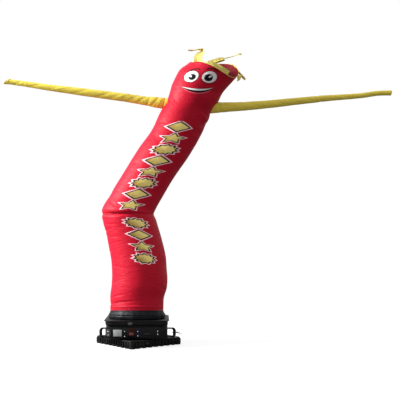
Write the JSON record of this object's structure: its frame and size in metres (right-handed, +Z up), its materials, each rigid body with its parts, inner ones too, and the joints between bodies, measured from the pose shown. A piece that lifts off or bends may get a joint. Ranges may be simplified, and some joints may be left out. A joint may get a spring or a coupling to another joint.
{
  "type": "inflatable air dancer on blower",
  "caption": "Tall cloth tube figure that leans above a knee fold, with a printed face, tapered arms, a crown of strips and a black collar, standing on a low square fan housing.",
  "frame": {"origin": "centre of the base's flat underside, on the surface that the blower stands on", "axes": "+Z up, +X along the arms towards the side that the upper tube leans to, -Y towards the viewer, where the face, the switch plate and the latch are"},
  "size_m": [3.2042, 0.699, 2.3831],
  "materials": {
    "red_nylon": "semi-matt woven nylon, printed",
    "yellow_nylon": "semi-matt woven nylon",
    "black_nylon": "coated nylon with a soft sheen",
    "black_plastic": "moulded, lightly textured",
    "gloss_black": "gloss",
    "grey_plastic": "satin",
    "pale_plate": "satin, blank",
    "dark_red_plastic": "gloss",
    "lit_red": "gloss",
    "blue_black_plastic": "gloss",
    "steel": "plated"
  },
  "bodies": {
    "root": {"body_tube": "red_nylon", "collar": "black_nylon", "arm_left": "yellow_nylon", "arm_right": "yellow_nylon", "hair_fringe": "yellow_nylon", "base_feet": "black_plastic", "base_tray": "black_plastic", "base_deck": "black_plastic", "drain_cap": "gloss_black", "housing": "black_plastic", "top_cap": "black_plastic", "cap_lip": "black_plastic", "outlet_ring": "black_plastic", "latch_plate": "gloss_black", "latch_lever": "grey_plastic", "fascia": "black_plastic", "gland_cover": "grey_plastic", "blank_plate": "pale_plate", "switch_plate": "dark_red_plastic", "rocker": "lit_red", "socket_plate": "blue_black_plastic", "slot_bezel": "gloss_black", "handle_left": "black_plastic", "handle_right": "black_plastic", "tether_tie": "black_nylon", "screw_0": "steel", "screw_1": "steel", "screw_2": "steel", "screw_3": "steel", "screw_4": "steel", "screw_5": "steel", "screw_6": "steel", "screw_7": "steel"}
  },
  "joints": []
}
